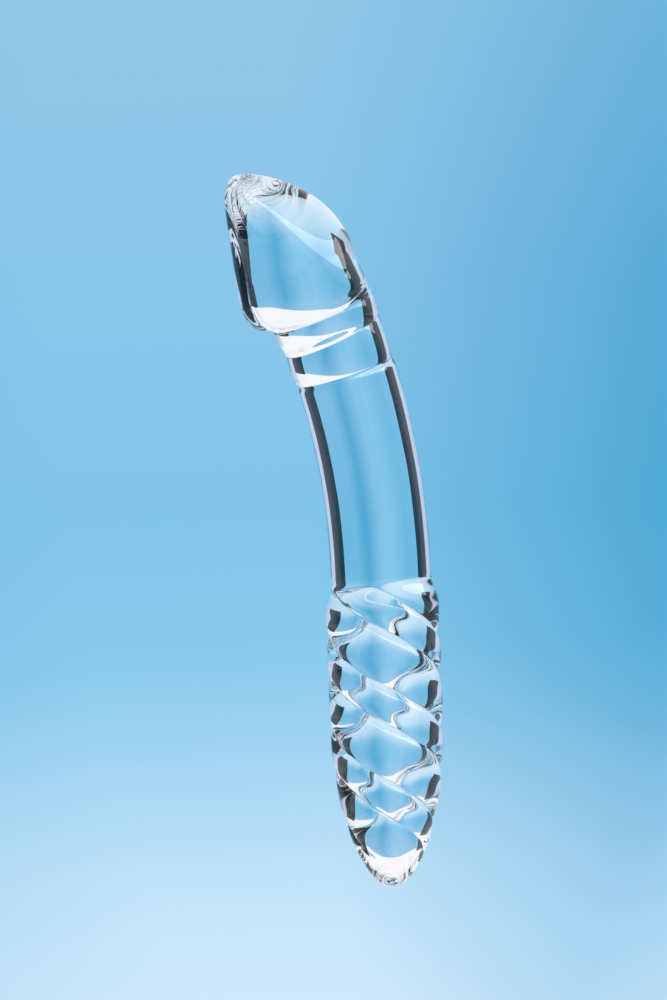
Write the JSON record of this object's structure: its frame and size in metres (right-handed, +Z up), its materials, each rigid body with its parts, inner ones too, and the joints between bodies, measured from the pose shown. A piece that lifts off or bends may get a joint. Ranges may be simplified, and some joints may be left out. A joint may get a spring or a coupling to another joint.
{
  "type": "glass dildo",
  "caption": "Solid clear glass double-ended adult massager: rounded head on a ringed neck, bent smooth shaft and twisted-rib handle.",
  "frame": {"origin": "pole of the handle's rounded end, on the handle's axis", "axes": "+Z up along the straight handle's axis. Azimuth 0 is the display side: the shaft and head bend towards -X and, by 30 degrees, towards -Y, so the head leans left and towards the viewer"},
  "size_m": [0.0569, 0.0461, 0.2059],
  "materials": {
    "clear_glass": "clear borosilicate glass, fire-polished to a gloss"
  },
  "bodies": {
    "root": {"handle_tip": "clear_glass", "handle": "clear_glass", "shaft": "clear_glass", "neck_ring_lower": "clear_glass", "neck_ring_upper": "clear_glass", "head": "clear_glass"}
  },
  "joints": []
}
